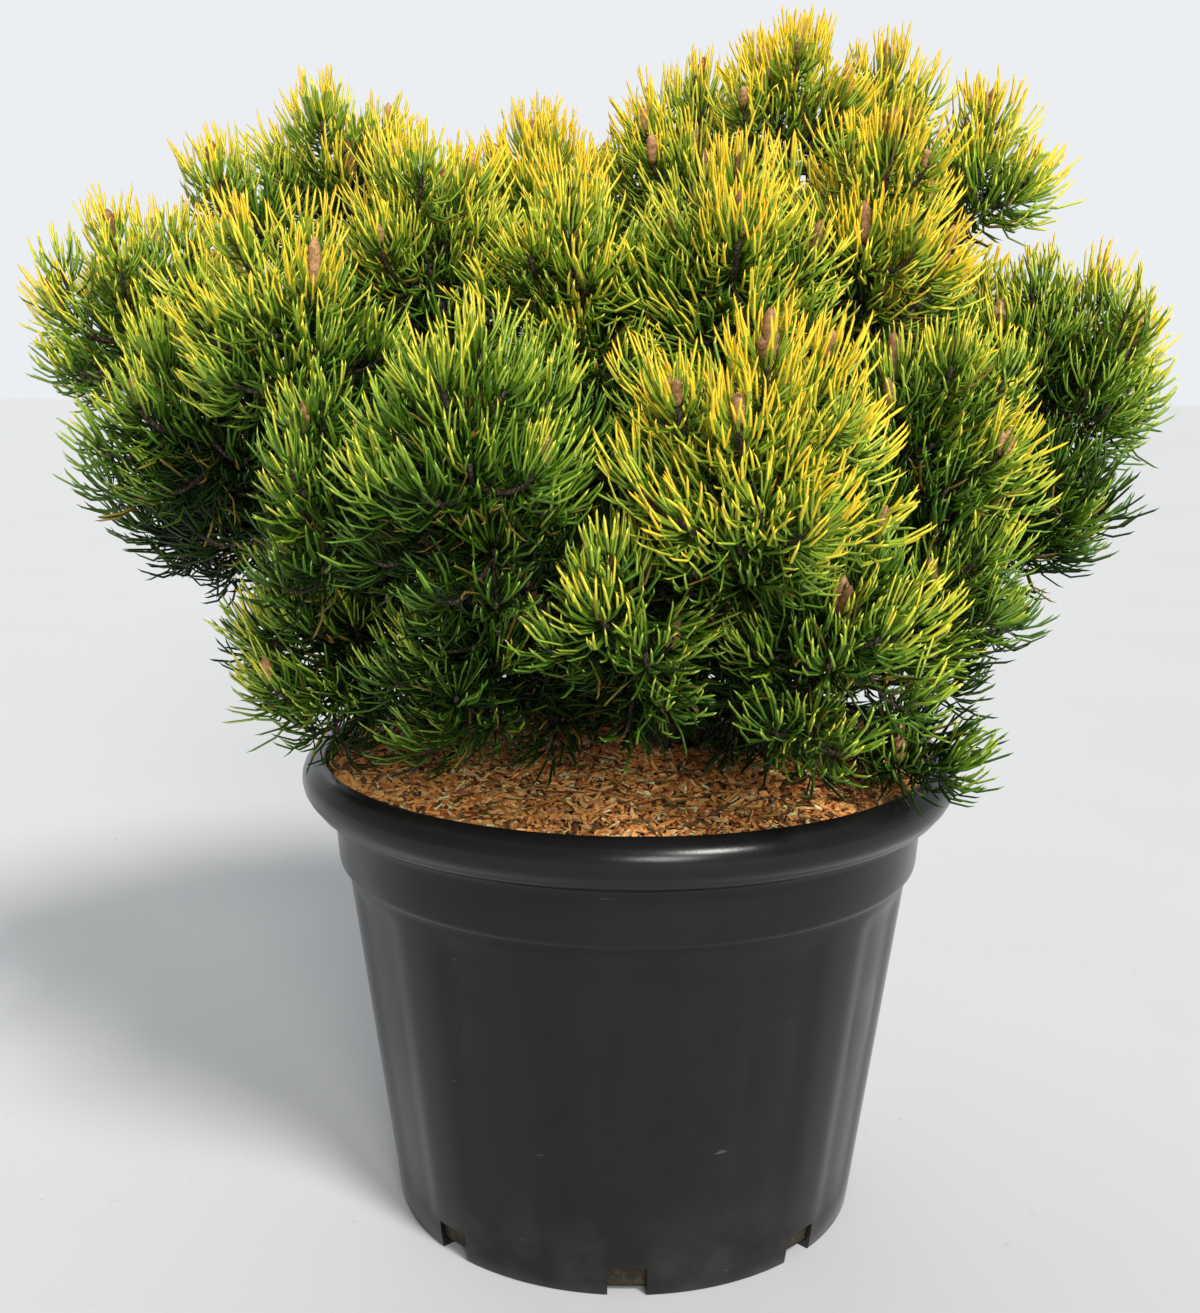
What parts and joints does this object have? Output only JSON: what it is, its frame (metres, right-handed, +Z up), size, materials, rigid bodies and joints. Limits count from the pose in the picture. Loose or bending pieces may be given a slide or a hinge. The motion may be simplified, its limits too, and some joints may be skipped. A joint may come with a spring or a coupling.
{
  "type": "mugo pine in a nursery pot",
  "caption": "Broad, low mountain pine shrub with golden-tipped needle tufts on fanning boughs, growing in a round black plastic nursery pot of bark mulch.",
  "frame": {"origin": "centre of the pot's flat underside", "axes": "+Z up, -Y the front of the plant, +X to its right as seen from the front"},
  "size_m": [0.9589, 0.8421, 1.0226],
  "materials": {
    "pot_plastic": "dark grey to black moulded plastic with a soft sheen, faint dust and scuffs",
    "bark_mulch": "loose orange-brown bark and coir chips over dark growing medium",
    "bark": "rough grey-brown scaly bark",
    "needles": "green needles with golden-yellow tips and small brown buds, slightly glossy"
  },
  "bodies": {
    "root": {"pot": "pot_plastic", "growing_medium": "bark_mulch", "trunk": "bark", "bough_peak": "bark", "bough_high_left": "bark", "bough_arm_left": "bark", "bough_front_left": "bark", "bough_front_gold": "bark", "bough_side_right": "bark", "bough_shoulder_right": "bark", "bough_back_left": "bark", "bough_back_middle": "bark", "bough_back_right": "bark", "bough_skirt_left": "bark", "bough_skirt_right": "bark", "bough_high_right": "bark", "bough_top": "bark", "bough_upper_front": "bark", "bough_upper_right": "bark", "bough_right_front": "bark", "bough_low_right": "bark", "bough_low_front_right": "bark", "bough_low_front": "bark", "bough_far_left": "bark", "bough_skirt_front": "bark", "bough_low_left": "bark", "bough_mid_left": "bark", "bough_front_top_left": "bark", "bough_top_left": "bark", "bough_back_far_left": "bark", "bough_back_far_right": "bark", "foliage_peak": "needles", "foliage_high_left": "needles", "foliage_arm_left": "needles", "foliage_front_left": "needles", "foliage_front_gold": "needles", "foliage_side_right": "needles", "foliage_shoulder_right": "needles", "foliage_back_left": "needles", "foliage_back_middle": "needles", "foliage_back_right": "needles", "foliage_skirt_left": "needles", "foliage_skirt_right": "needles", "foliage_high_right": "needles", "foliage_top": "needles", "foliage_upper_front": "needles", "foliage_upper_right": "needles", "foliage_right_front": "needles", "foliage_low_right": "needles", "foliage_low_front_right": "needles", "foliage_low_front": "needles", "foliage_far_left": "needles", "foliage_skirt_front": "needles", "foliage_low_left": "needles", "foliage_mid_left": "needles", "foliage_front_top_left": "needles", "foliage_top_left": "needles", "foliage_back_far_left": "needles", "foliage_back_far_right": "needles"}
  },
  "joints": []
}
